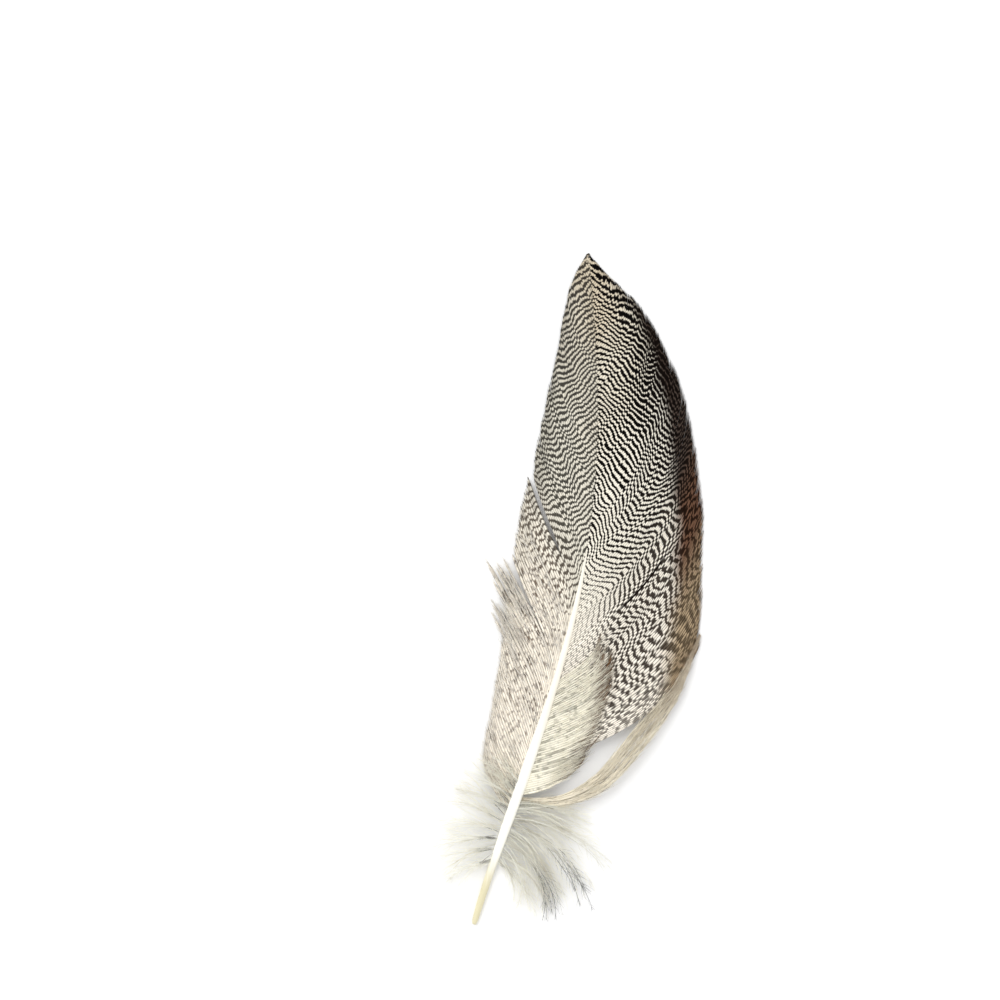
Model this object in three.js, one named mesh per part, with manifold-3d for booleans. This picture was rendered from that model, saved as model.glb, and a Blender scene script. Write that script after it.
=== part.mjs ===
// Duck feather, one flank feather lying on its hollow side, quill end towards -Y and tip towards +Y.
// Millimetres, +Z up. The whole feather grew as one piece: quill, shaft, two webs of locks, soft base.

import * as THREE from "three";
import { mergeVertices } from "three/addons/utils/BufferGeometryUtils.js";
import Module from "manifold-3d";

const wasm = await Module();
wasm.setup();

// Sizes of the whole feather
const LENGTH = 118;
const SIDE_BOW = 8.2;
const SIDE_BOW_SKEW = 1.2;
const ARCH_HEIGHT = 4.6;
const ARCH_START = 0.07;
const ARCH_ROUNDNESS = 1.4;
const REST_CUT = 0.12;

// Quill and shaft: radius at even steps from the quill end to the tip
const SHAFT_RADII = [0.5, 0.72, 0.95, 0.86, 0.7, 0.62, 0.55, 0.5, 0.45, 0.4, 0.35];
const SHAFT_END = 0.97;
const SHAFT_SIDES = 10;
const SHAFT_STEPS = 20;

// A lock: a group of barbs, thickest along its middle
const RIDGE_HALF = 0.42;
const EDGE_HALF = 0.14;
const LOCK_OVERLAP = 0.24;
const LOCK_STEPS = 6;
const TIP_LOCK_STEPS = 4;
const TIP_LOCKS_FROM = 0.72;
const LOCK_ROWS = 2;
const TIP_ROUNDING = 0.035;
const TIP_RAGGED = 0.035;
const TIP_NARROWING = 0.16;
const ROOT_SINK = 0.3;
const MARGIN_HEIGHT = 0.3;
const CAMBER_POWER = 1.8;

// Where the barbs of each web end, for roots at even steps from the first root to the tip
const RIGHT_ROOT = 0.25;
const RIGHT_ENDS = [[30.4, 54], [27.1, 77], [23.3, 90], [19.2, 99], [14.8, 105.5], [10.2, 110.6], [5.2, 114], [0, 118]];
const RIGHT_LOCKS = 24;
const LEFT_ROOT = 0.17;
const LEFT_ENDS = [[-3.4, 29], [-3.3, 52], [-4, 69], [-3.3, 83], [-2.8, 95], [-2.5, 105], [-2.2, 112.5], [-0.5, 118]];
const LEFT_LOCKS = 22;
const LAST_ROOT = 0.975;

// How far a barb turns away from the shaft, in degrees, wider at the first roots
const LEAVING_ANGLE = 35;
const EXTRA_LOW_ANGLE = 24;
const LOW_ANGLE_REACH = 0.07;
const BEND_SHARE = 0.46;

// The lower right web: soft locks that lie over the roots of the web above them
const SOFT_ROOTS = [0.2, 0.3];
const SOFT_ENDS = [[14, 32], [15.2, 38], [15.4, 44], [14.2, 53]];
const SOFT_LOCKS = 5;
const SOFT_ANGLE = 66;
const SOFT_LIFT = 0.45;

// Long splits between two locks: web side, lock below the split, start and end along the barb, half gap
const SPLITS = [
  { side: 1, lock: 3, from: 0.3, to: 0.85, gap: 0.5 },
  { side: -1, lock: 7, from: 0.35, to: 1.4, gap: 0.75 },
  { side: -1, lock: 3, from: 0.6, to: 1.4, gap: 0.8 },
];

// Loose lock that bows out under the right web
const LOOSE_PATH = [[4, 22.6, 1.4], [11, 23.8, 2.3], [17.2, 28, 2.6], [22.8, 37, 2.2], [27.6, 46, 1.4], [30.2, 56, 0.4]];
const LOOSE_WIDTH = 4;
const LOOSE_STEPS = 9;

// Downy locks at the foot of the shaft: root height, first heading and last heading in degrees from +Y, length
const RIGHT_DOWN = [
  [12, 112, 165, 10],
  [13.6, 100, 158, 14],
  [15.2, 92, 150, 18],
  [16.8, 86, 140, 18],
  [18.4, 80, 132, 16],
  [20, 76, 124, 14],
  [21.6, 72, 112, 13],
];
const LEFT_DOWN = [
  [12, 118, 150, 10],
  [13.6, 106, 136, 12],
  [15.2, 96, 122, 13],
  [16.8, 86, 108, 13],
  [18.4, 76, 96, 12],
  [20, 66, 84, 11],
  [21.6, 56, 70, 10],
];
const DOWN_WIDTH = 2.9;
const DOWN_HALF = 0.5;
const DOWN_TIP_SHARE = 0.35;
const DOWN_RISE = 1.1;
const DOWN_STEPS = 5;
const PATH_SAMPLES = 24;

const FEATHER_COLOUR = 0xb5aa97;
const FEATHER_ROUGHNESS = 0.8;

const HALF_TURN = Math.PI;
const RADIANS = Math.PI / 180;

// Returns the same scatter from 0 to 1 for the same number every time
function scatter(seed) {
  const wave = Math.sin(seed * 12.9898 + 4.1) * 43758.5453;
  return wave - Math.floor(wave);
}

function smoothStep(from, to, value) {
  return THREE.MathUtils.smoothstep(value, from, to);
}

// Shaft centreline
function shaftRadius(along) {
  const place = THREE.MathUtils.clamp(along, 0, 1) * (SHAFT_RADII.length - 1);
  const index = Math.min(Math.floor(place), SHAFT_RADII.length - 2);
  return THREE.MathUtils.lerp(SHAFT_RADII[index], SHAFT_RADII[index + 1], place - index);
}

function shaftLift(along) {
  const share = Math.max(0, (along - ARCH_START) / (1 - ARCH_START));
  return ARCH_HEIGHT * Math.pow(Math.max(0, Math.sin(HALF_TURN * Math.min(share, 1))), ARCH_ROUNDNESS);
}

function shaftPoint(along) {
  const sideways = SIDE_BOW * Math.sin(HALF_TURN * Math.pow(Math.max(along, 0), SIDE_BOW_SKEW));
  const height = shaftRadius(along) - REST_CUT + shaftLift(along);
  return new THREE.Vector3(sideways, LENGTH * along, height);
}

function shaftHeading(along) {
  const step = 0.005;
  const before = shaftPoint(along - step);
  const after = shaftPoint(along + step);
  return Math.atan2(after.x - before.x, after.y - before.y);
}

// Turns a block's welded copy into a closed solid whose corners have been moved by a mapping
function bentSolid(geometry, mapping) {
  geometry.deleteAttribute("normal");
  geometry.deleteAttribute("uv");
  const welded = mergeVertices(geometry, 1e-4);
  const corners = welded.getAttribute("position");
  const corner = new THREE.Vector3();
  for (let index = 0; index < corners.count; index += 1) {
    corner.fromBufferAttribute(corners, index);
    const moved = mapping(corner);
    corners.setXYZ(index, moved.x, moved.y, moved.z);
  }
  return new wasm.Manifold(new wasm.Mesh({
    numProp: 3,
    vertProperties: new Float32Array(corners.array),
    triVerts: new Uint32Array(welded.index.array),
  }));
}

// Quill and shaft: a rod bent along the centreline, thickest where the webs begin
function shaftSolid() {
  const rod = new THREE.CylinderGeometry(1, 1, 1, SHAFT_SIDES, SHAFT_STEPS);
  return bentSolid(rod, (corner) => {
    const along = (corner.y + 0.5) * SHAFT_END;
    const radius = shaftRadius(along);
    const heading = shaftHeading(along);
    const centre = shaftPoint(along);
    return new THREE.Vector3(
      centre.x + Math.cos(heading) * corner.x * radius,
      centre.y - Math.sin(heading) * corner.x * radius,
      centre.z + corner.z * radius,
    );
  });
}

// Curve through the ends of a web's barbs
function endCurve(ends) {
  return new THREE.CatmullRomCurve3(ends.map(([x, y]) => new THREE.Vector3(x, y, 0)));
}

// A web: its side, the roots it covers, the curve its barbs end on and the angle they leave at
function makeWeb(side, firstRoot, lastRoot, ends, angle, lift) {
  return { side, firstRoot, lastRoot, curve: endCurve(ends), angle, lift };
}

function leavingAngle(web, root) {
  const extra = EXTRA_LOW_ANGLE * Math.exp(-Math.max(0, root - web.firstRoot) / LOW_ANGLE_REACH);
  return (web.angle + extra) * RADIANS;
}

// Point on the barb that grows from one root; reach runs from 0 at the shaft to 1 at the margin
function barbPoint(web, root, reach) {
  const start = shaftPoint(root);
  const share = THREE.MathUtils.clamp((root - web.firstRoot) / (web.lastRoot - web.firstRoot), 0, 1);
  const end = web.curve.getPoint(share);
  const heading = shaftHeading(root) + web.side * leavingAngle(web, root);
  const arm = BEND_SHARE * Math.hypot(end.x - start.x, end.y - start.y);
  const rest = 1 - reach;
  const bendX = start.x + arm * Math.sin(heading);
  const bendY = start.y + arm * Math.cos(heading);
  const camber = Math.pow(Math.max(reach, 0), CAMBER_POWER);
  return new THREE.Vector3(
    rest * rest * start.x + 2 * rest * reach * bendX + reach * reach * end.x,
    rest * rest * start.y + 2 * rest * reach * bendY + reach * reach * end.y,
    THREE.MathUtils.lerp(start.z, MARGIN_HEIGHT, camber) + web.lift * Math.sin(HALF_TURN * reach),
  );
}

// Half gap of a split beside a lock, as a share of the lock's width
function splitInset(side, lock, edge, reach) {
  const below = edge > 0 ? lock : lock - 1;
  const split = SPLITS.find((one) => one.side === side && one.lock === below);
  if (split === undefined) {
    return 0;
  }
  const middle = (split.from + split.to) / 2;
  return split.gap * smoothStep(split.from, middle, reach) * (1 - smoothStep(middle, split.to, reach));
}

function lockSolid(web, lock, lockCount, lastRoot) {
  const width = (lastRoot - web.firstRoot) / lockCount;
  const middle = web.firstRoot + (lock + 0.5) * width;
  const steps = middle > TIP_LOCKS_FROM ? TIP_LOCK_STEPS : LOCK_STEPS;
  const block = new THREE.BoxGeometry(1, 1, 1, steps, LOCK_ROWS, 1);
  const ragged = TIP_RAGGED * (scatter(lock + 50 * web.side + web.lift) - 0.5);
  return bentSolid(block, (corner) => {
    const reach = corner.x + 0.5;
    const across = corner.y * web.side;
    const edge = Math.abs(2 * across);
    const narrowing = 1 - TIP_NARROWING * Math.pow(reach, 4);
    const inset = edge > 0.5 ? splitInset(web.side, lock, across, reach) : 0;
    const spread = across * (1 + LOCK_OVERLAP) * narrowing * (1 - inset);
    const root = THREE.MathUtils.clamp(middle + spread * width, web.firstRoot, 1);
    const full = 1 + ragged - TIP_ROUNDING * edge * edge;
    const point = barbPoint(web, root, reach * full);
    const sink = ROOT_SINK * (1 - reach);
    const half = THREE.MathUtils.lerp(RIDGE_HALF, EDGE_HALF, edge * edge) * (1 - 0.25 * reach);
    return new THREE.Vector3(point.x - web.side * sink, point.y, point.z + 2 * corner.z * half);
  });
}

function webLocks(web, lockCount, lastRoot) {
  const locks = [];
  for (let lock = 0; lock < lockCount; lock += 1) {
    locks.push(lockSolid(web, lock, lockCount, lastRoot));
  }
  return locks;
}

// A free lock: a flat tapering strip along a path in space
function stripSolid(path, width, half, steps) {
  const block = new THREE.BoxGeometry(1, 1, 1, steps, LOCK_ROWS, 1);
  return bentSolid(block, (corner) => {
    const reach = corner.x + 0.5;
    const point = path.getPoint(reach);
    const ahead = path.getTangent(reach);
    const flat = Math.hypot(ahead.x, ahead.y);
    const belly = Math.sin(HALF_TURN * (0.15 + 0.7 * reach));
    const taper = THREE.MathUtils.lerp(1, DOWN_TIP_SHARE, reach * reach);
    const spread = corner.y * width * taper * belly;
    const edge = Math.abs(2 * corner.y);
    const rise = 2 * corner.z * THREE.MathUtils.lerp(half, EDGE_HALF, edge) * taper;
    return new THREE.Vector3(
      point.x - (ahead.y / flat) * spread,
      point.y + (ahead.x / flat) * spread,
      Math.max(point.z, half - REST_CUT) + rise,
    );
  });
}

// Path of a downy lock: it leaves the shaft, rises a little, turns and sinks to the table
function downPath(side, [rootHeight, firstHeading, lastHeading, length]) {
  const points = [shaftPoint(rootHeight / LENGTH)];
  const step = length / PATH_SAMPLES;
  for (let index = 1; index <= PATH_SAMPLES; index += 1) {
    const share = index / PATH_SAMPLES;
    const heading = side * THREE.MathUtils.lerp(firstHeading, lastHeading, share) * RADIANS;
    const last = points[index - 1];
    const fall = (points[0].z - DOWN_HALF) * share * share;
    const height = points[0].z - fall + DOWN_RISE * Math.sin(HALF_TURN * share);
    points.push(new THREE.Vector3(
      last.x + step * Math.sin(heading),
      last.y + step * Math.cos(heading),
      height,
    ));
  }
  return new THREE.CatmullRomCurve3(points);
}

function downLocks() {
  const right = RIGHT_DOWN.map((row) => stripSolid(downPath(1, row), DOWN_WIDTH, DOWN_HALF, DOWN_STEPS));
  const left = LEFT_DOWN.map((row) => stripSolid(downPath(-1, row), DOWN_WIDTH, DOWN_HALF, DOWN_STEPS));
  return [...right, ...left];
}

function looseLock() {
  const path = new THREE.CatmullRomCurve3(LOOSE_PATH.map(([x, y, z]) => new THREE.Vector3(x, y, z)));
  return stripSolid(path, LOOSE_WIDTH, DOWN_HALF, LOOSE_STEPS);
}

// Everything above the table, used to cut the underside flat where the feather touches it
function aboveTable() {
  const span = 4 * LENGTH;
  const block = new THREE.BoxGeometry(span, span, span);
  return bentSolid(block, (corner) => new THREE.Vector3(corner.x, corner.y, corner.z + span / 2));
}

function featherSolid() {
  const rightWeb = makeWeb(1, RIGHT_ROOT, 1, RIGHT_ENDS, LEAVING_ANGLE, 0);
  const leftWeb = makeWeb(-1, LEFT_ROOT, 1, LEFT_ENDS, LEAVING_ANGLE, 0);
  const softWeb = makeWeb(1, SOFT_ROOTS[0], SOFT_ROOTS[1], SOFT_ENDS, SOFT_ANGLE, SOFT_LIFT);
  const locks = [
    ...webLocks(rightWeb, RIGHT_LOCKS, LAST_ROOT),
    ...webLocks(leftWeb, LEFT_LOCKS, LAST_ROOT),
    ...webLocks(softWeb, SOFT_LOCKS, SOFT_ROOTS[1]),
    ...downLocks(),
    looseLock(),
  ];
  return locks.reduce((whole, lock) => whole.add(lock), shaftSolid()).intersect(aboveTable());
}

function geometryOf(solid) {
  const mesh = solid.getMesh();
  const geometry = new THREE.BufferGeometry();
  geometry.setAttribute("position", new THREE.BufferAttribute(new Float32Array(mesh.vertProperties), 3));
  geometry.setIndex(new THREE.BufferAttribute(new Uint32Array(mesh.triVerts), 1));
  return geometry;
}

// Moves the geometry so that the origin is under the middle of the feather, on the table
function centreOnTable(geometry) {
  geometry.computeBoundingBox();
  const box = geometry.boundingBox;
  geometry.translate(-(box.min.x + box.max.x) / 2, -(box.min.y + box.max.y) / 2, -box.min.z);
  geometry.computeVertexNormals();
  return geometry;
}

const group = new THREE.Group();
const feather = new THREE.Mesh(
  centreOnTable(geometryOf(featherSolid())),
  new THREE.MeshStandardMaterial({ color: FEATHER_COLOUR, roughness: FEATHER_ROUGHNESS, metalness: 0 }),
);
feather.name = "feather";
group.add(feather);

export default group;
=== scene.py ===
"""Duck flank feather: quill, shaft, two vanes of barbs, soft lower barbs, a loose lock and down."""
import logging
import math
from dataclasses import dataclass, field
from enum import Enum

import bpy
import numpy as np
from bpy.types import Material, Mesh, Node, NodeSocket, NodeTree, Object
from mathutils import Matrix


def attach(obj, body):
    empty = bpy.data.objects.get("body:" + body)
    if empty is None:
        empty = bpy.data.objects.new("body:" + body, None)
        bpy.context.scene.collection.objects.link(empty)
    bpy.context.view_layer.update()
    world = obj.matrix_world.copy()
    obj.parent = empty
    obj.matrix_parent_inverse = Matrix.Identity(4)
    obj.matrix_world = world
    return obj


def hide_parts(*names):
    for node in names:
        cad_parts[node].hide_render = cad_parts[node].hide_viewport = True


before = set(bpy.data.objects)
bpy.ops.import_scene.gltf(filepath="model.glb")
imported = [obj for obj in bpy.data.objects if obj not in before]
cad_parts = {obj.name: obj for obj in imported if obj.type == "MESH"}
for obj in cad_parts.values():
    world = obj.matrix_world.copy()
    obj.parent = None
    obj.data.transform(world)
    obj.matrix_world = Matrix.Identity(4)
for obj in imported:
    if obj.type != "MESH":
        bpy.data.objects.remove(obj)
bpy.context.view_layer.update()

log = logging.getLogger("feather")

Array = np.ndarray
Rng = np.random.Generator
Pair = tuple[float, float]
Row = tuple[float, ...]
Colour = Row
# Where a change begins and ends and, where they are given, the numbers that it starts and stops at
Ease = Row

MM = 0.001
TURN = 2.0 * math.pi
BODY = "root"
SOLID = "feather"
MAP_NAME = "OFBake"
# The quill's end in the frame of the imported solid, in millimetres
QUILL_END = np.array([-10.036, -58.484, 0.0])
BUMP_DEPTH = 0.00005
# How far apart the streaks of two barbs are drawn from the noise, for each step of tone
STREAKS_APART = 9.0


class Side(Enum):
    """The two sides of the shaft, seen from above with the tip ahead."""

    RIGHT = 1
    LEFT = -1


# Small sums


def shares(steps: int) -> Array:
    """Returns even shares from 0 to 1."""
    return np.linspace(0.0, 1.0, steps + 1)


def smooth_step(low: float, high: float, value: Array) -> Array:
    """Eases from 0 to 1 as a value passes from low to high."""
    share = np.clip((np.asarray(value, float) - low) / (high - low), 0.0, 1.0)
    return share * share * (3.0 - 2.0 * share)


def window(low: float, high: float, soft: float, value: Array) -> Array:
    """Returns 1 between low and high, easing to 0 over soft on both sides."""
    return smooth_step(low - soft, low, value) * (1.0 - smooth_step(high, high + soft, value))


def blend(first: Array, second: Array, share: Array) -> Array:
    """Returns the value that lies a share of the way from first to second."""
    return first + (second - first) * share


def drift(rng: Rng, shape: tuple[int, ...], widths: Row) -> Array:
    """Makes smooth seeded noise with a spread of one.

    Args:
        rng: seeded source of numbers.
        shape: size of the field.
        widths: how far the noise is smoothed along each axis, in samples.

    Returns:
        A field of the given shape.
    """
    noise = rng.standard_normal(shape)
    for axis, width in enumerate(widths):
        if width > 0:
            reach = min(int(3 * width) + 1, (shape[axis] - 1) // 2)
            kernel = np.exp(-0.5 * (np.arange(-reach, reach + 1) / width) ** 2)
            noise = np.apply_along_axis(np.convolve, axis, noise, kernel, "same")
    return noise / noise.std()


def barb_tones(rng: Rng, shape: tuple[int, ...]) -> Array:
    """Returns one seeded tone for each barb, repeated along it."""
    return np.broadcast_to(rng.standard_normal(shape[0])[:, None], shape)


def smooth_curve(knots: tuple[Row, ...], along: Array) -> Array:
    """Follows a centripetal curve through knots.

    Args:
        knots: points that the curve passes through.
        along: places on it, 0 at the first knot and 1 at the last.

    Returns:
        One point for each place.
    """
    stops = np.array(knots, float)
    stops = np.vstack([2 * stops[0] - stops[1], stops, 2 * stops[-1] - stops[-2]])
    place = np.clip(along, 0.0, 1.0) * (len(knots) - 1)
    index = np.minimum(place.astype(int), len(knots) - 2)
    step = (place - index)[:, None]
    before, start, stop, after = (stops[index + offset] for offset in range(4))
    gaps = [
        np.linalg.norm(second - first, axis=1)[:, None] ** 0.5
        for first, second in ((before, start), (start, stop), (stop, after))
    ]
    leave = (start - before) / gaps[0] - (stop - before) / (gaps[0] + gaps[1])
    leave = (leave + (stop - start) / gaps[1]) * gaps[1]
    arrive = (stop - start) / gaps[1] - (after - start) / (gaps[1] + gaps[2])
    arrive = (arrive + (after - stop) / gaps[2]) * gaps[1]
    square = -3 * start + 3 * stop - 2 * leave - arrive
    cube = 2 * start - 2 * stop + leave + arrive
    return start + step * (leave + step * (square + step * cube))


def lengths_along(lines: Array) -> Array:
    """Returns the length from each line's first point to each of its points."""
    steps = np.linalg.norm(np.diff(lines, axis=1), axis=2)
    return np.concatenate([np.zeros((len(lines), 1)), np.cumsum(steps, axis=1)], axis=1)


def level_sides(lines: Array) -> Array:
    """Finds which way is left of each line, seen from above.

    Args:
        lines: points by line and step.

    Returns:
        A level unit vector for each point.
    """
    ahead = np.gradient(lines, axis=1)
    left = np.stack([-ahead[..., 1], ahead[..., 0], np.zeros(lines.shape[:2])], axis=2)
    return left / np.maximum(np.linalg.norm(left, axis=2, keepdims=True), 1e-9)


def rest_on(lines: Array, under: Array, spare: float = 0.16, near: float = 1.2) -> Array:
    """Raises lines so that they lie on other lines wherever they cross them.

    Args:
        lines: the upper lines' points, in millimetres.
        under: the lower lines' points.
        spare: how far above them the upper ones lie.
        near: level distance within which a lower point counts.

    Returns:
        The heights of the upper points.
    """
    low = under.reshape(-1, 3)
    heights = lines[..., 2].copy()
    for row, line in enumerate(lines):
        gaps = np.linalg.norm(line[:, None, :2] - low[None, :, :2], axis=2)
        share = 1.0 - smooth_step(0.5 * near, near, gaps.min(axis=1))
        level = low[gaps.argmin(axis=1), 2] + spare
        heights[row] = np.maximum(heights[row], blend(heights[row], level, share))
    return heights


def paint(*seen: float) -> Colour:
    """Turns red, green and blue as seen, from 0 to 255, into the linear colour that shaders use."""
    parts = [part / 255.0 for part in seen]
    return (*(part / 12.92 if part <= 0.04045 else ((part + 0.055) / 1.055) ** 2.4 for part in parts), 1.0)


def paints(*seen: tuple[float, float, float]) -> tuple[Colour, ...]:
    """Turns several colours as seen into linear ones."""
    return tuple(paint(*colour) for colour in seen)


# Node trees


class Graph:
    """Adds nodes to one tree, each with its settings first and then its sockets."""

    def __init__(self, tree: NodeTree) -> None:
        """Keeps the tree that nodes are added to."""
        self.tree = tree

    def node(self, kind: str, sockets: dict | None = None, **settings: object) -> Node:
        """Adds a node.

        Args:
            kind: the node's type.
            sockets: values or links for its inputs, by name or number.
            settings: its properties.

        Returns:
            The new node.
        """
        made = self.tree.nodes.new(kind)
        for name, setting in settings.items():
            setattr(made, name, setting)
        for name, given in (sockets or {}).items():
            self.feed(made.inputs[name], given)
        return made

    def feed(self, socket: NodeSocket, given: object) -> None:
        """Links a wrapped or plain socket to an input, or sets the input's value.

        Args:
            socket: the input.
            given: what it gets.
        """
        given = given.socket if isinstance(given, Value) else given
        if isinstance(given, NodeSocket):
            self.tree.links.new(given, socket)
        else:
            socket.default_value = given

    def first(self, kind: str, sockets: dict | None = None, **settings: object) -> NodeSocket:
        """Adds a node and returns its first output."""
        return self.node(kind, sockets, **settings).outputs[0]

    def value(self, kind: str, sockets: dict, **settings: object) -> "Value":
        """Adds a node and wraps its first output."""
        return Value(self, self.first(kind, sockets, **settings))

    def mark(self, name: str) -> "Value":
        """Reads a number that the strands carry."""
        return Value(self, self.node("ShaderNodeAttribute", attribute_name=name).outputs["Fac"])

    def place(self) -> NodeSocket:
        """Reads the place on the object."""
        return self.node("ShaderNodeTexCoord").outputs["Object"]

    def noise(self, place: NodeSocket, scale: float) -> "Value":
        """Returns smooth noise from 0 to 1, with scale waves to the metre or to the unit."""
        return self.value("ShaderNodeTexNoise", {"Vector": place, "Scale": scale, "Detail": 2.0})

    def streaks(self, tone: "Value", along: "Value") -> "Value":
        """Returns noise from 0 to 1 that runs along each barb and differs from barb to barb."""
        row = self.first("ShaderNodeCombineXYZ", {0: tone * STREAKS_APART, 1: along, 2: 0.0})
        return self.noise(row, 1.0)

    def mix(self, share: "Value", first: object, second: object) -> NodeSocket:
        """Mixes two colours by the share of the second."""
        sockets = {0: share, 6: first, 7: second}
        return self.node("ShaderNodeMix", sockets, data_type="RGBA", clamp_factor=True).outputs[2]

    def steps(self, colours: tuple[Colour, ...], *turns: "Value") -> NodeSocket:
        """Passes through colours.

        Args:
            colours: the first colour and those that follow it.
            turns: shares by which each next one takes over.

        Returns:
            The mixed colour's socket.
        """
        mixed = colours[0]
        for share, colour in zip(turns, colours[1:]):
            mixed = self.mix(share, mixed, colour)
        return mixed

    def scale(self, colour: object, factor: "Value") -> NodeSocket:
        """Makes a colour brighter or darker by a factor."""
        return self.first("ShaderNodeVectorMath", {0: colour, "Scale": factor}, operation="SCALE")

    def bump(self, shader: Node, height: "Value", strength: float) -> None:
        """Makes a surface uneven by a height."""
        sockets = {"Strength": strength, "Distance": BUMP_DEPTH, "Height": height}
        self.feed(shader.inputs["Normal"], self.node("ShaderNodeBump", sockets).outputs["Normal"])


@dataclass(frozen=True)
class Value:
    """A number in a node tree, which can be worked with in expressions."""

    graph: Graph
    socket: NodeSocket

    def math(self, operation: str, *parts: object) -> "Value":
        """Adds a Math node."""
        return self.graph.value("ShaderNodeMath", dict(enumerate(parts)), operation=operation)

    def __add__(self, other: object) -> "Value":
        """Adds."""
        return self.math("ADD", self, other)

    def __sub__(self, other: object) -> "Value":
        """Takes away."""
        return self.math("SUBTRACT", self, other)

    def __rsub__(self, other: float) -> "Value":
        """Takes this from a plain number."""
        return self.math("SUBTRACT", other, self)

    def __mul__(self, other: object) -> "Value":
        """Multiplies."""
        return self.math("MULTIPLY", self, other)

    def __pow__(self, other: float) -> "Value":
        """Raises to a power."""
        return self.math("POWER", self, other)

    __radd__ = __add__
    __rmul__ = __mul__

    def sine(self) -> "Value":
        """Returns the sine."""
        return self.math("SINE", self)

    def size(self) -> "Value":
        """Returns the number without its sign."""
        return self.math("ABSOLUTE", self)

    def eased(self, low: float, high: float, start: float = 0.0, stop: float = 1.0) -> "Value":
        """Eases from start to stop as the number passes from low to high."""
        sockets = {0: self, 1: low, 2: high, 3: start, 4: stop}
        return self.graph.value("ShaderNodeMapRange", sockets, interpolation_type="SMOOTHSTEP")


# Finishes


@dataclass(frozen=True)
class Surface:
    """The parts of a finish that stay the same all over a piece."""

    name: str
    roughness: float
    gloss: float
    sheen: float = 0.0
    coat: float = 0.0
    glow_through: float = 0.0
    glow_depth: float = 0.002
    colour: Colour = (1.0, 1.0, 1.0, 1.0)

    def start(self) -> tuple[Material, Graph, Node]:
        """Makes the material with its constant sockets set.

        Returns:
            The material, its graph and its shader node.
        """
        material = bpy.data.materials.new(self.name)
        material.use_nodes = True
        shader = material.node_tree.nodes["Principled BSDF"]
        constants = {
            "Base Color": self.colour, "Roughness": self.roughness, "Specular IOR Level": self.gloss,
            "Sheen Weight": self.sheen, "Coat Weight": self.coat, "Subsurface Weight": self.glow_through,
            "Subsurface Radius": (1.0, 1.0, 1.0), "Subsurface Scale": self.glow_depth,
        }
        for name, constant in constants.items():
            shader.inputs[name].default_value = constant
        return material, Graph(material.node_tree), shader


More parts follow.
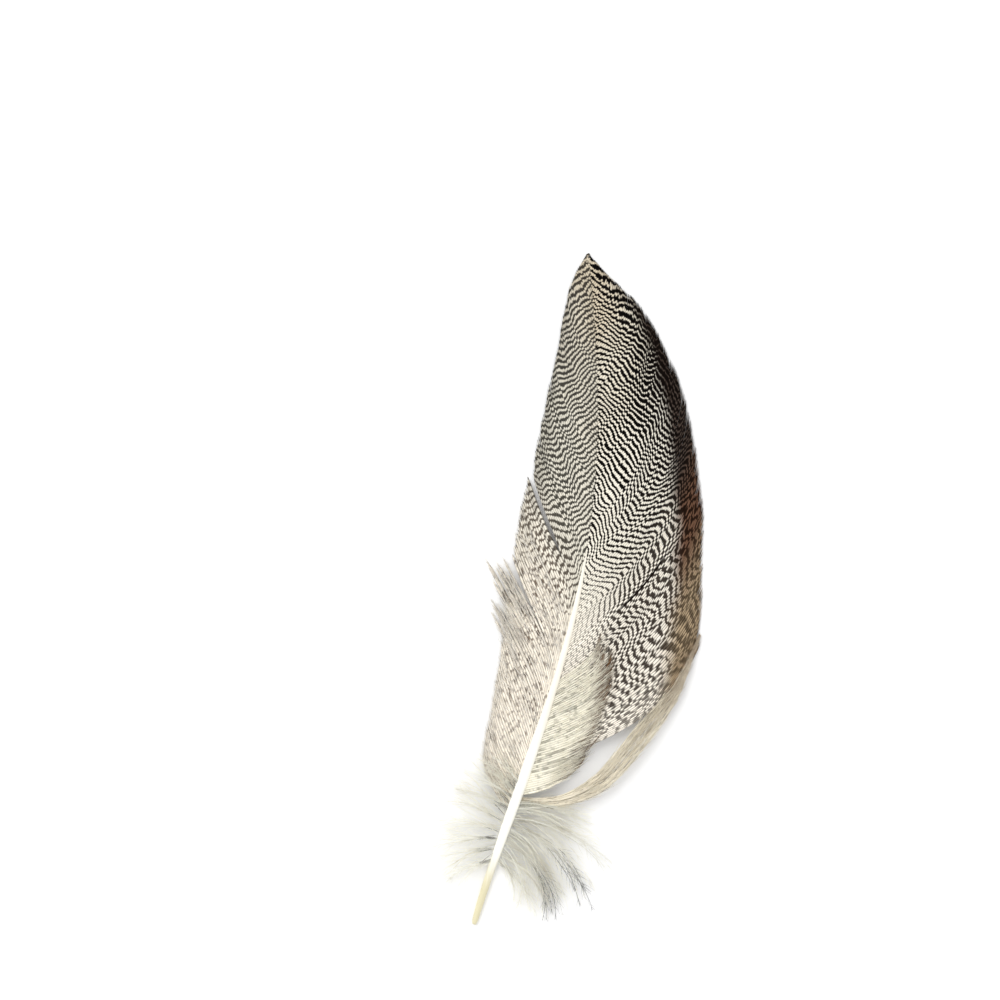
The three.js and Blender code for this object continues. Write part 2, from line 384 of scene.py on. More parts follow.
@dataclass(frozen=True)
class VaneFinish:
    """Barred vane: thin dark bars across pale barbs, paler and browner towards the foot.

    Colours are given from the foot upwards. Heights are shares of the shaft and reaches shares of a barb.
    """

    surface: Surface
    pale: tuple[Colour, ...]
    dark: tuple[Colour, ...]
    margin: tuple[Colour, ...]
    depth: Pair
    foot: Ease
    # How broad the dark bars are, upwards and outwards
    line: Ease
    line_outward: Ease
    margin_from: float
    margin_depth: float
    # Painted shade in the grooves between barbs: how much each barb darkens towards its edges, by height
    painted_groove_shade: Ease
    line_tip: Ease = (0.7, 0.9, 0.0, 0.0)
    outward: Ease = (0.32, 0.46, 0.3, 1.0)
    # Beside the shaft the lower bars are thin and faint
    near: Ease = (0.08, 0.36)
    near_line: Ease = (0.46, 0.64, -0.5, 0.0)
    near_fade: Ease = (0.35, 0.54, 0.35, 0.0)
    foot_depth: Ease = (0.22, 0.29, 0.6, 1.0)
    # Low down, bars give way to strokes along the barbs
    strokes: Ease = (0.27, 0.38, 3.0, 0.5)
    waves: Ease = (0.27, 0.38, 0.4, 1.0)
    broken: Ease = (0.34, 0.56, 1.4, 1.0)
    stroke_length: float = 0.7
    pale_high: Ease = (0.6, 0.78)
    pale_tip: Ease = (0.8, 0.95)
    dark_high: Ease = (0.45, 0.75)
    margin_mid: Ease = (0.3, 0.38)
    margin_high: Ease = (0.4, 0.5)
    margin_width: float = 0.17
    margin_narrows: Ease = (0.55, 0.75, 0.0, 0.12)
    margin_tip: Ease = (0.74, 0.9, 1.0, 0.35)
    margin_bar: Ease = (0.3, 0.42, 0.7, 0.88)
    # Painted shadow: the near-black colour drawn along one side of the barb beside a slit, and which side of
    # the barb it covers
    seam: Colour = (0.008, 0.005, 0.004, 1.0)
    slit_shadow_side: Ease = (-0.6, -0.3)
    mottle: Ease = (0.3, 0.5, 0.44, 0.22)
    # Waves to the metre of the noise that roughens, bends and shifts the bars, and how far it does so
    grain_scale: float = 1100.0
    ripple_scale: float = 430.0
    wide_scale: float = 140.0
    ridge_scale: float = 3500.0
    grain: float = 0.3
    ripple: float = 0.9
    wide: float = 0.14
    slant: float = 0.14
    softness: float = 0.35
    ridge_strength: float = 0.25
    grain_tone: float = 0.14
    barb_tone: float = 0.045

    def material(self) -> Material:
        """Builds the material.

        Returns:
            The finished material.
        """
        material, graph, shader = self.surface.start()
        root, reach, signed = graph.mark("root"), graph.mark("reach"), graph.mark("across")
        tone, bars, across = graph.mark("tone"), graph.mark("bars"), signed.size()
        place = graph.place()
        grain = graph.noise(place, self.grain_scale) - 0.5
        ripple = graph.noise(place, self.ripple_scale) - 0.5
        wide = (graph.noise(place, self.wide_scale) - 0.5) * self.wide
        streak = graph.streaks(tone, bars * self.stroke_length) - 0.5
        height = root + wide
        phase = bars + signed * graph.mark("lean") + across * self.slant
        phase = phase + grain * self.grain + ripple * height.eased(*self.broken) * self.ripple
        wave = (phase * TURN).sine() * height.eased(*self.waves)
        near = 1.0 - reach.eased(*self.near)
        shift = height.eased(*self.line) + reach.eased(*self.line_outward) * root.eased(*self.outward)
        shift = shift + streak * height.eased(*self.strokes) + height.eased(*self.line_tip)
        shift = shift + near * height.eased(*self.near_line)
        bar = (wave + shift).eased(-self.softness, self.softness)
        upward = height.eased(*self.foot)
        depth = upward * (self.depth[1] - self.depth[0]) + self.depth[0]
        depth = depth * root.eased(*self.foot_depth) * (1.0 - near * height.eased(*self.near_fade))
        pale = graph.steps(self.pale, upward, height.eased(*self.pale_high), height.eased(*self.pale_tip))
        dark = graph.steps(self.dark, upward, height.eased(*self.dark_high))
        colour = graph.mix(bar * depth, pale, dark)
        edge_tone = graph.steps(self.margin, root.eased(*self.margin_mid), root.eased(*self.margin_high))
        edge = reach + wide - root.eased(*self.margin_narrows)
        edge = edge.eased(self.margin_from, self.margin_from + self.margin_width) * self.margin_depth
        edge = edge * root.eased(*self.margin_tip)
        edge_tone = graph.scale(edge_tone, 1.0 - bar * root.eased(*self.margin_bar))
        colour = graph.mix(edge, colour, edge_tone)
        # Painted shadow of a slit, drawn along one side of the barb beside it
        colour = graph.mix(graph.mark("seam") * signed.eased(*self.slit_shadow_side), colour, self.seam)
        # Painted shade: each barb darkens towards its edges, standing in for shade in the grooves between
        # barbs
        painted_groove_shade = 1.0 - (across ** 4.0) * height.eased(*self.painted_groove_shade)
        life = tone * self.barb_tone + grain * self.grain_tone + streak * height.eased(*self.mottle) + 1.0
        graph.feed(shader.inputs["Base Color"], graph.scale(colour, painted_groove_shade * life))
        graph.bump(shader, graph.noise(place, self.ridge_scale), self.ridge_strength)
        return material


@dataclass(frozen=True)
class SoftFinish:
    """Loose pale barbs and hairs with brown flecks and darker ends."""

    surface: Surface
    # Pale, fleck and tip
    colours: tuple[Colour, ...]
    fleck_depth: float
    tips: Ease
    # Painted shade: how much a strand darkens towards its edges, as if shaded in the grooves between strands
    painted_groove_shade: float = 0.0
    # Half widths in metres between which a strand comes to show its painted groove shade
    broad: Ease = (0.00006, 0.00014)
    flecks: Ease = (0.48, 0.68)
    ragged: float = 0.3
    grain_scale: float = 900.0
    grain_tone: float = 0.08
    barb_tone: float = 0.05

    def material(self) -> Material:
        """Builds the material.

        Returns:
            The finished material.
        """
        material, graph, shader = self.surface.start()
        reach, tone = graph.mark("reach"), graph.mark("tone")
        grain = graph.noise(graph.place(), self.grain_scale) - 0.5
        streak = graph.streaks(tone, graph.mark("bars"))
        fleck = streak.eased(*self.flecks) * self.fleck_depth
        tip = reach + grain * self.ragged + (streak - 0.5) * self.ragged
        colour = graph.steps(self.colours, fleck, tip.eased(*self.tips))
        # Grey ends and dark dashes that the down's own strands carry
        colour = graph.mix(graph.mark("seam"), colour, self.colours[-1])
        broad = graph.mark("half").eased(*self.broad)
        # Painted shade: each strand darkens towards its edges, standing in for shade between strands
        painted_groove_shade = 1.0 - (graph.mark("across").size() ** 4.0) * broad * self.painted_groove_shade
        life = tone * self.barb_tone + grain * self.grain_tone + 1.0
        graph.feed(shader.inputs["Base Color"], graph.scale(colour, painted_groove_shade * life))
        return material


@dataclass(frozen=True)
class QuillFinish:
    """Horn of the quill and shaft: tan and clear at the foot, then white, and greyer towards the tip. The
    pure white low on the shaft is partly the horn's own colour and partly a painted highlight.
    """

    surface: Surface
    horn: tuple[Colour, ...]
    # Millimetres from the quill's end where each next colour takes over
    changes: tuple[Ease, ...] = ((6.0, 14.0), (24.0, 44.0), (55.0, 95.0))
    streak_scale: float = 2600.0
    streak_squash: float = 0.12
    ragged: float = 3.0
    streak_tone: float = 0.14
    streak_roughness: float = 0.3
    streak_strength: float = 0.3

    def material(self) -> Material:
        """Builds the material.

        Returns:
            The finished material.
        """
        material, graph, shader = self.surface.start()
        stretch = {"Vector": graph.place(), "Scale": (1.0, self.streak_squash, 1.0)}
        streak = graph.noise(graph.first("ShaderNodeMapping", stretch), self.streak_scale)
        height = graph.mark("along") + (streak - 0.5) * self.ragged
        colour = graph.steps(self.horn, *(height.eased(*change) for change in self.changes))
        colour = graph.scale(colour, (streak - 0.5) * self.streak_tone + 1.0)
        graph.feed(shader.inputs["Base Color"], colour)
        roughness = (streak - 0.5) * self.streak_roughness + self.surface.roughness
        graph.feed(shader.inputs["Roughness"], roughness)
        graph.bump(shader, streak, self.streak_strength)
        return material


# Strands


@dataclass
class Strands:
    """Guide lines of one piece and the numbers that their points carry."""

    batches: list[tuple[Array, dict[str, Array]]] = field(default_factory=list)

    def add(self, lines: Array, half: Array, **marks: Array) -> None:
        """Adds a batch of lines with the same number of points.

        Args:
            lines: points in millimetres, by line and step.
            half: half width of the strand at each point, in millimetres.
            marks: numbers by name, for each point or for each line.
        """
        shape = lines.shape[:2]
        carried = {"half": np.broadcast_to(half, shape) * MM}
        for name, mark in marks.items():
            mark = np.asarray(mark, float)
            carried[name] = np.broadcast_to(mark[:, None] if mark.ndim == 1 else mark, shape)
        self.batches.append((lines, carried))

    def guide_mesh(self, name: str) -> Mesh:
        """Joins the lines into a mesh of edges.

        Args:
            name: the mesh's name.

        Returns:
            The mesh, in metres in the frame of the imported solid.
        """
        points, edges, marks, count = [], [], {}, 0
        names = sorted({key for _, carried in self.batches for key in carried})
        for lines, carried in self.batches:
            rows, steps = lines.shape[:2]
            numbers = np.arange(rows * steps).reshape(rows, steps) + count
            edges.append(np.stack([numbers[:, :-1], numbers[:, 1:]], axis=2).reshape(-1, 2))
            points.append((lines.reshape(-1, 3) + QUILL_END) * MM)
            for key in names:
                marks.setdefault(key, []).append(carried.get(key, np.zeros((rows, steps))).ravel())
            count += rows * steps
        mesh = bpy.data.meshes.new(name)
        mesh.from_pydata(np.concatenate(points).tolist(), np.concatenate(edges).tolist(), [])
        for key in names:
            layer = mesh.attributes.new(key, "FLOAT", "POINT")
            layer.data.foreach_set("value", np.concatenate(marks[key]).astype(np.float32))
        return mesh


@dataclass(frozen=True)
class Fibre:
    """Cross-section of one kind of strand."""

    sides: int
    flatness: float
    smooth: bool = True


class StrandTree:
    """Geometry Nodes that turn guide lines into closed tapering strands."""

    INPUTS = (
        ("Guides", "Geometry"), ("Sides", "Int"), ("Flatness", "Float"), ("Smooth", "Bool"),
        ("Map Corner", "Vector"), ("Map Share", "Vector"), ("Finish", "Material"),
    )

    def __init__(self) -> None:
        """Builds the tree once for all pieces."""
        self.tree = bpy.data.node_groups.new("strands", "GeometryNodeTree")
        for name, kind in self.INPUTS:
            self.tree.interface.new_socket(name, in_out="INPUT", socket_type="NodeSocket" + kind)
        self.tree.interface.new_socket("Strands", in_out="OUTPUT", socket_type="NodeSocketGeometry")
        graph = Graph(self.tree)
        given = graph.node("NodeGroupInput").outputs
        spot = graph.first("GeometryNodeInputPosition")
        tube = self.tube(graph, given, spot)
        offset = graph.first("ShaderNodeVectorMath", {0: spot, 1: given["Map Corner"]}, operation="SUBTRACT")
        place = graph.first("ShaderNodeVectorMath", {0: offset, 1: given["Map Share"]}, operation="MULTIPLY")
        stored = {"Geometry": tube, "Name": MAP_NAME, "Value": place}
        made = graph.first("GeometryNodeStoreNamedAttribute", stored, data_type="FLOAT2", domain="CORNER")
        made = graph.first("GeometryNodeRealizeInstances", {"Geometry": made})
        made = graph.first("GeometryNodeSetShadeSmooth", {"Geometry": made, "Shade Smooth": given["Smooth"]})
        made = graph.first("GeometryNodeSetMaterial", {"Geometry": made, "Material": given["Finish"]})
        graph.node("NodeGroupOutput", {0: made})

    @staticmethod
    def tube(graph: Graph, given: bpy.types.bpy_prop_collection, spot: NodeSocket) -> NodeSocket:
        """Sweeps a squashed ring along the guides.

        Args:
            graph: the tree's graph.
            given: the group's inputs.
            spot: the place of each point.

        Returns:
            The socket of the swept strands.
        """
        lines = graph.first("GeometryNodeMeshToCurve", {"Mesh": given["Guides"]})
        lines = graph.first("GeometryNodeSetCurveNormal", {"Curve": lines}, mode="Z_UP")
        half = graph.first("GeometryNodeInputNamedAttribute", {"Name": "half"}, data_type="FLOAT")
        ring = graph.first("GeometryNodeCurvePrimitiveCircle", {"Resolution": given["Sides"], "Radius": 1.0})
        squash = graph.first("ShaderNodeCombineXYZ", {0: 1.0, 1: given["Flatness"], 2: 1.0})
        ring = graph.first("GeometryNodeTransform", {"Geometry": ring, "Scale": squash})
        across = graph.first("ShaderNodeSeparateXYZ", {0: spot})
        stored = {"Geometry": ring, "Name": "across", "Value": across}
        ring = graph.first("GeometryNodeStoreNamedAttribute", stored, data_type="FLOAT", domain="POINT")
        swept = {"Curve": lines, "Profile Curve": ring, "Scale": half, "Fill Caps": True}
        return graph.first("GeometryNodeCurveToMesh", swept)

    def grow(self, name: str, strands: Strands, fibre: Fibre, material: Material, slot: str) -> Object:
        """Grows strands on guide lines and turns the result into a plain mesh.

        Args:
            name: the piece's name.
            strands: its guide lines.
            fibre: the strands' cross-section.
            material: the finish.
            slot: the material slot, passed on to be logged.

        Returns:
            The finished piece, riding on the feather's body.
        """
        guides = strands.guide_mesh(name + "_guides")
        points = np.zeros(len(guides.vertices) * 3, np.float32)
        guides.vertices.foreach_get("co", points)
        spare = max(float(carried["half"].max()) for _, carried in strands.batches)
        low = points.reshape(-1, 3).min(0) - spare
        size = points.reshape(-1, 3).max(0) + spare - low
        piece = add_object(name, guides)
        modifier = piece.modifiers.new("strands", "NODES")
        modifier.node_group = self.tree
        settings = {
            "Sides": fibre.sides,
            "Flatness": fibre.flatness,
            "Smooth": fibre.smooth,
            "Map Corner": (float(low[0]), float(low[1]), 0.0),
            "Map Share": (1.0 / float(size[0]), 1.0 / float(size[1]), 0.0),
            "Finish": material,
        }
        for item in self.tree.interface.items_tree:
            if item.in_out == "INPUT" and item.name in settings:
                modifier[item.identifier] = settings[item.name]
        graph = bpy.context.evaluated_depsgraph_get()
        mesh = bpy.data.meshes.new_from_object(piece.evaluated_get(graph), depsgraph=graph)
        piece.modifiers.remove(modifier)
        piece.data = mesh
        mesh.name = name
        bpy.data.meshes.remove(guides)
        return settle(piece, slot)


def add_object(name: str, data: bpy.types.ID) -> Object:
    """Adds an object to the scene, at the origin.

    Args:
        name: the object's name.
        data: its mesh, camera or lamp.

    Returns:
        The new object.
    """
    made = bpy.data.objects.new(name, data)
    bpy.context.scene.collection.objects.link(made)
    return made


def settle(piece: Object, slot: str) -> Object:
    """Hangs a finished piece on the feather's body, hides the imported solid and logs its triangles.

    Args:
        piece: the finished object.
        slot: the material slot, which is only logged.

    Returns:
        The same object.
    """
    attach(piece, BODY)
    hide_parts(SOLID)
    triangles = sum(len(face.vertices) - 2 for face in piece.data.polygons)
    log.info("%s: %d triangles, slot %s", piece.name, triangles, slot)
    return piece


# The feather


@dataclass(frozen=True)
class Shaft:
    """Quill and shaft: where it runs and how thick it is."""

    length: float = 118.0
    side_bow: float = 8.2
    bow_skew: float = 1.2
    arch: float = 4.6
    arch_start: float = 0.07
    arch_roundness: float = 1.4
    rest_cut: float = 0.12
    bed_radii: Row = (0.5, 0.72, 0.95, 0.86, 0.7, 0.62, 0.55, 0.5, 0.45, 0.4, 0.35)
    radii: tuple[Pair, ...] = (
        (0.0, 0.34), (0.006, 0.5), (0.03, 0.6), (0.09, 0.7), (0.18, 0.94), (0.25, 0.92),
        (0.36, 0.62), (0.47, 0.48), (0.54, 0.34), (0.62, 0.2), (0.8, 0.12), (0.985, 0.05),
    )
    covered_from: Ease = (0.46, 0.62)
    cover: float = 0.05
    end_rings: Row = (0.0, 0.002, 0.006)
    ring_span: Pair = (0.012, 0.985)
    rings: int = 110
    sides: int = 14
    heading_step: float = 0.005

    def bed_radius(self, along: Array) -> Array:
        """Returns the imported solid's radius, which sets how high the shaft lies."""
        return np.interp(along, shares(len(self.bed_radii) - 1), self.bed_radii)

    def radius(self, along: Array) -> Array:
        """Returns the visible radius."""
        return np.interp(along, *zip(*self.radii))

    def point(self, along: Array) -> Array:
        """Finds points on the centreline.

        Args:
            along: places from 0 at the quill's end to 1 at the tip.

        Returns:
            One point for each place, in millimetres.
        """
        along = np.asarray(along, float)
        sideways = self.side_bow * np.sin(math.pi * np.maximum(along, 0.0) ** self.bow_skew)
        share = np.clip((along - self.arch_start) / (1.0 - self.arch_start), 0.0, 1.0)
        lift = self.arch * np.maximum(0.0, np.sin(math.pi * share)) ** self.arch_roundness
        height = self.bed_radius(along) - self.rest_cut + lift
        return np.stack([sideways, self.length * along, height], axis=-1)

    def barb_height(self, along: Array) -> Array:
        """Returns how high barbs start: inside the shaft low down, on top of it towards the tip."""
        climb = (self.radius(along) + self.cover) * smooth_step(*self.covered_from, along)
        return self.point(along)[..., 2] + climb

    def heading(self, along: Array) -> Array:
        """Finds which way the shaft runs, seen from above.

        Args:
            along: places from 0 at the quill's end to 1 at the tip.

        Returns:
            Radians turned from the tip's side to the right, for each place.
        """
        step = self.heading_step
        ahead = self.point(np.asarray(along) + step) - self.point(np.asarray(along) - step)
        return np.arctan2(ahead[..., 0], ahead[..., 1])

    def build(self, finish: QuillFinish) -> Object:
        """Builds the rod with its rounded lower end.

        Args:
            finish: the horn's finish.

        Returns:
            The finished piece.
        """
        along = np.concatenate([self.end_rings, np.linspace(*self.ring_span, self.rings)])
        centres = self.point(along)
        sizes = self.radius(along)
        centres[:, 2] = np.maximum(centres[:, 2], sizes - self.rest_cut)
        headings = self.heading(along)
        angles = np.arange(self.sides) * TURN / self.sides
        outward = np.stack([np.cos(headings), -np.sin(headings), np.zeros(len(along))], axis=1)
        ring = outward[:, None, :] * np.cos(angles)[None, :, None]
        ring = ring + np.array([0.0, 0.0, 1.0]) * np.sin(angles)[None, :, None]
        points = centres[:, None, :] + ring * sizes[:, None, None]
        points[..., 2] = np.maximum(points[..., 2], 0.0)
        return self.skin(points, along, finish)

    def skin(self, points: Array, along: Array, finish: QuillFinish) -> Object:
        """Joins rings of points into a closed rod with its own map.

        Args:
            points: rings of points in millimetres.
            along: each ring's place along the shaft.
            finish: the horn's finish.

        Returns:
            The finished piece.
        """
        count, sides = points.shape[:2]
        faces, spots = [], []
        for ring in range(count - 1):
            low, high = along[ring], along[ring + 1]
            for side in range(sides):
                first, after = ring * sides, (side + 1) % sides
                left, right = side / sides, (side + 1) / sides
                faces.append((first + side, first + after, first + sides + after, first + sides + side))
                spots.extend([(left, low), (right, low), (right, high), (left, high)])
        faces.append(tuple(range(sides - 1, -1, -1)))
        spots.extend([(side / sides, 0.0) for side in range(sides - 1, -1, -1)])
        faces.append(tuple((count - 1) * sides + side for side in range(sides)))
        spots.extend([(side / sides, 1.0) for side in range(sides)])
        mesh = bpy.data.meshes.new("shaft")
        mesh.from_pydata(((points.reshape(-1, 3) + QUILL_END) * MM).tolist(), [], faces)
        layer = mesh.uv_layers.new(name=MAP_NAME)
        layer.data.foreach_set("uv", np.array(spots, np.float32).ravel())
        marks = mesh.attributes.new("along", "FLOAT", "POINT")
        marks.data.foreach_set("value", np.repeat(along * self.length, sides).astype(np.float32))
        mesh.shade_smooth()
        mesh.materials.append(finish.material())
        return settle(add_object("shaft", mesh), "shaft")


@dataclass(frozen=True)
class Barring:
    """How the dark bars of neighbouring barbs line up."""

    period: float = 0.88
    low_period: float = 1.75
    period_from: Ease = (0.28, 0.58)
    outer_stretch: float = 1.25
    outer_from: Ease = (0.25, 0.95)
    shear: Pair = (0.5, 0.8)
    shear_from: Ease = (0.35, 0.9)
    barb_slip: float = 0.1
    low_slip: float = 0.46
    slip_from: Ease = (0.32, 0.52)
    # How far bars wander, bow and shake, and how broadly that is smoothed over barbs and steps
    wander: float = 0.4
    wander_widths: Pair = (2.7, 2.4)
    swell: float = 0.7
    swell_widths: Pair = (7.0, 6.0)
    fine_slip: float = 0.08
    fine_widths: Pair = (0.0, 1.2)
    # Length of a barb in millimetres on which bars wander in full, and the share that the shortest keep
    full_wander: float = 26.0
    least_wander: float = 0.15
    joining: float = 0.85
    steepest: float = 1.6
    least_gap: float = 0.05

    def turns(self, lines: Array, roots: Array, length: float, rng: Rng) -> tuple[Array, Array]:
        """Counts the bars from the shaft's foot to each point.

        Args:
            lines: the barbs' points in millimetres.
            roots: where each barb leaves the shaft.
            length: the shaft's length.
            rng: seeded source of numbers.

        Returns:
            Bars passed, in turns, and how they slant across the barb, for each point.
        """
        shape = lines.shape[:2]
        shear = blend(*self.shear, smooth_step(*self.shear_from, roots))
        period = blend(self.low_period, self.period, smooth_step(*self.period_from, roots))
        climb = np.cumsum(shear * np.gradient(roots) * length / period)
        stretch = blend(1.0, self.outer_stretch, smooth_step(*self.outer_from, shares(shape[1] - 1)))
        gained = np.gradient(lengths_along(lines), axis=1) / (period[:, None] * stretch)
        turns = np.cumsum(gained, axis=1) - gained[:, :1] + climb[:, None]
        room = np.clip(lengths_along(lines)[:, -1:] / self.full_wander, self.least_wander, 1.0)
        turns = turns + self.wander * room * drift(rng, shape, self.wander_widths)
        turns = turns + self.swell * room * drift(rng, shape, self.swell_widths)
        lean = self.lean(lines, turns)
        slip = blend(self.low_slip, self.barb_slip, smooth_step(*self.slip_from, roots))
        turns = turns + slip[:, None] * rng.standard_normal((shape[0], 1))
        return turns + self.fine_slip * drift(rng, shape, self.fine_widths), lean

    def lean(self, lines: Array, turns: Array) -> Array:
        """Finds how bars slant across a barb so that they meet those of its neighbours.

        Args:
            lines: the barbs' points in millimetres.
            turns: bars passed at each point.

        Returns:
            Turns gained for each millimetre to the right of the barb.
        """
        ahead, over = np.gradient(lines, axis=1), np.gradient(lines, axis=0)
        size = np.linalg.norm(ahead, axis=2)
        forward = np.sum(over * ahead, axis=2) / size
        sideways = -np.sum(over * level_sides(lines), axis=2)
        gained = np.gradient(turns, axis=0) - forward * np.gradient(turns, axis=1) / size
        least = np.copysign(self.least_gap, sideways)
        limit = np.where(np.abs(sideways) < self.least_gap, least, sideways)
        return self.joining * np.clip(gained / limit, -self.steepest, self.steepest)


@dataclass(frozen=True)
class Slit:
    """A split between two barbs: where it is, how far it opens and how dark the painted shadow along its
    edge is.
    """

    root: float
    reach: Pair
    gap: float
    shade: float = 0.0
    spread: float = 0.02
    soft: float = 0.08

    def push(self, roots: Array, reach: Array) -> Array:
        """Opens the split.

        Args:
            roots: where each barb leaves the shaft.
            reach: how far out each point lies, as a share of its barb.

        Returns:
            How far each point moves away from the split, in millimetres.
        """
        middle = 0.5 * (self.reach[0] + min(self.reach[1], 1.0))
        opened = smooth_step(self.reach[0], middle, reach)
        if self.reach[1] <= 1.0:
            opened = opened * (1.0 - smooth_step(middle, self.reach[1], reach))
        away = roots[:, None] - self.root
        near = np.exp(-np.abs(away) / self.spread)
        return 0.5 * self.gap * np.sign(away) * near * opened

    def darkness(self, roots: Array, reach: Array) -> Array:
        """Returns how dark the painted shadow of the split makes each point."""
        nearest = np.arange(len(roots)) == np.argmin(np.abs(roots - self.root))
        return self.shade * nearest[:, None] * window(*self.reach, self.soft, reach)


@dataclass(frozen=True)
class Tuft:
    """Barbs that fan out of the vane's margin."""

    roots: Pair
    push: float
    ragged: float
    uneven: float = 0.14
    soft: float = 0.012
    ragged_soft: float = 0.004
    furthest: float = 1.2

    def ends(self, roots: Array, rng: Rng) -> Array:
        """Returns how much longer or shorter each barb is, as a share of it."""
        return self.ragged * window(*self.roots, self.ragged_soft, roots) * rng.standard_normal(len(roots))

    def fan(self, roots: Array, reach: Array, rng: Rng) -> Array:
        """Pushes the barbs out of the margin.

        Args:
            roots: where each barb leaves the shaft.
            reach: how far out each point lies, as a share of its barb.
            rng: seeded source of numbers.

        Returns:
            How far each point moves outwards, in millimetres.
        """
        push = self.push * (1.0 + self.uneven * rng.standard_normal(len(roots)))
        push = push * window(*self.roots, self.soft, roots)
        return push[:, None] * np.clip(reach, 0.0, self.furthest) ** 3


@dataclass(frozen=True)
class Vane:
    """One web of barbs: its roots, the curve that its barbs end on, and how they lie."""

    name: str
    side: Side
    roots: Pair
    ends_root: float
    ends: tuple[Pair, ...]
    barbs: int
    finish: VaneFinish | SoftFinish
    seed: int
    angles: tuple[Pair, ...] = ((0.25, 60), (0.32, 44), (0.42, 37), (0.8, 35), (1.0, 7))
    crowding: float = 1.0
    bend: float = 0.46
    tuck: float = 0.38
    lift: float = 0.0
    camber: float = 1.8
    margin_height: float = 0.3
    cover: float = 0.68
    uneven: float = 0.2
    thin_from: Ease = (1.0, 2.0)
    thin_share: float = 0.0
    least_half: float = 0.12
    most_half: float = 0.5
    taper: float = 0.85
    taper_from: Ease = (0.94, 1.0)
    ragged: float = 0.006
    ragged_width: float = 3.0
    flutter: float = 0.07
    sway_widths: Pair = (1.2, 4.0)
    sway_from: Ease = (0.1, 1.0)
    heave: float = 0.5
    heave_widths: Pair = (4.0, 6.0)
    heave_from: Ease = (0.05, 0.4)
    clearance: float = 0.02
    margin_step: float = 0.01
    steps: int = 26
    slits: tuple[Slit, ...] = ()
    tuft: Tuft | None = None
    barring: Barring = Barring()
    fibre: Fibre = Fibre(4, 0.2)

    def root_places(self) -> Array:
        """Returns where the barbs leave the shaft, closer together where they crowd towards the foot."""
        return self.roots[0] + (self.roots[1] - self.roots[0]) * shares(self.barbs - 1) ** self.crowding

    def lines(self, shaft: Shaft, roots: Array, reach: Array) -> Array:
        """Lays barbs from the shaft to the margin.

        Args:
            shaft: the shaft that they grow from.
            roots: where each leaves it.
            reach: shares from root to margin, for each barb and step.

        Returns:
            Points in millimetres, by barb and step.
        """
        side = self.side.value
        start = shaft.point(roots)[:, :2]
        share = (roots - self.roots[0]) / (self.ends_root - self.roots[0])
        end = smooth_curve(self.ends, share)
        heading = shaft.heading(roots) + side * np.radians(np.interp(roots, *zip(*self.angles)))
        arm = self.bend * np.linalg.norm(end - start, axis=1)[:, None]
        turn = start + arm * np.stack([np.sin(heading), np.cos(heading)], axis=1)
        margin = smooth_curve(self.ends, share + self.margin_step)
        margin = margin - smooth_curve(self.ends, share - self.margin_step)
        margin = margin / np.linalg.norm(margin, axis=1)[:, None]
        arriving = end - turn
        size = np.linalg.norm(arriving, axis=1)[:, None]
        arriving = blend(arriving / size, margin, self.tuck)
        first = start + (turn - start) * 2.0 / 3.0
        second = end - arriving / np.linalg.norm(arriving, axis=1)[:, None] * size * 2.0 / 3.0
        along, rest = reach[..., None], 1.0 - reach[..., None]
        flat = rest ** 3 * start[:, None] + 3.0 * rest ** 2 * along * first[:, None]
        flat = flat + 3.0 * rest * along ** 2 * second[:, None] + along ** 3 * end[:, None]
        level = shaft.barb_height(roots)[:, None]
        height = blend(level, self.margin_height, np.maximum(reach, 0.0) ** self.camber)
        height = height + self.lift * np.sin(math.pi * np.clip(reach, 0.0, 1.0))
        return np.concatenate([flat, height[..., None]], axis=2)

    def strands(self, shaft: Shaft, under: Array | None = None) -> tuple[Strands, Array]:
        """Lays the vane's barbs with their widths and bars.

        Args:
            shaft: the shaft that they grow from.
            under: lines of a vane that these barbs lie on, if there is one.

        Returns:
            The strands and the barbs' lines.
        """
        rng = np.random.default_rng(self.seed)
        roots, steps, side = self.root_places(), shares(self.steps), self.side.value
        ends = 1.0 + self.ragged * rng.standard_normal(self.barbs)
        ends = ends + self.ragged * drift(rng, (self.barbs,), (self.ragged_width,))
        if self.tuft is not None:
            ends = ends + self.tuft.ends(roots, rng)
        reach = steps[None, :] * ends[:, None]
        lines = self.lines(shaft, roots, reach)
        pitch = self.pitch(lines)
        left = level_sides(lines) * side
        # Barbs beside a slit carry its painted shadow
        seam = np.zeros(reach.shape)
        for slit in self.slits:
            lines = lines + left * slit.push(roots, reach)[..., None]
            seam = np.maximum(seam, slit.darkness(roots, reach))
        if self.tuft is not None:
            lines[..., 0] += side * self.tuft.fan(roots, reach, rng)
        sway = drift(rng, reach.shape, self.sway_widths) * self.flutter * smooth_step(*self.sway_from, reach)
        lines = lines + left * sway[..., None]
        heave = self.heave * self.flutter * drift(rng, reach.shape, self.heave_widths)
        lines[..., 2] += heave * smooth_step(*self.heave_from, reach)
        taper = 1.0 - self.taper * smooth_step(*self.taper_from, steps)
        half = np.clip(self.cover * pitch, self.least_half, self.most_half) * taper[None, :]
        half = half * (1.0 + self.uneven * rng.uniform(-1.0, 1.0, (self.barbs, 1)))
        half = half * (1.0 - self.thin_share * smooth_step(*self.thin_from, roots))[:, None]
        lines[..., 2] = np.maximum(lines[..., 2], half * self.fibre.flatness + self.clearance)
        if under is not None:
            lines[..., 2] = rest_on(lines, under)
        turns, lean = self.barring.turns(lines, roots, shaft.length, rng)
        marks = {"root": roots, "reach": reach, "bars": turns, "lean": lean * half, "seam": seam}
        strands = Strands()
        strands.add(lines, half, tone=rng.standard_normal(self.barbs), **marks)
        return strands, lines

    @staticmethod
    def pitch(lines: Array) -> Array:
        """Returns the distance between neighbouring barbs at each point."""
        across = np.gradient(lines, axis=0)
        return np.abs(np.sum(across * level_sides(lines), axis=2))


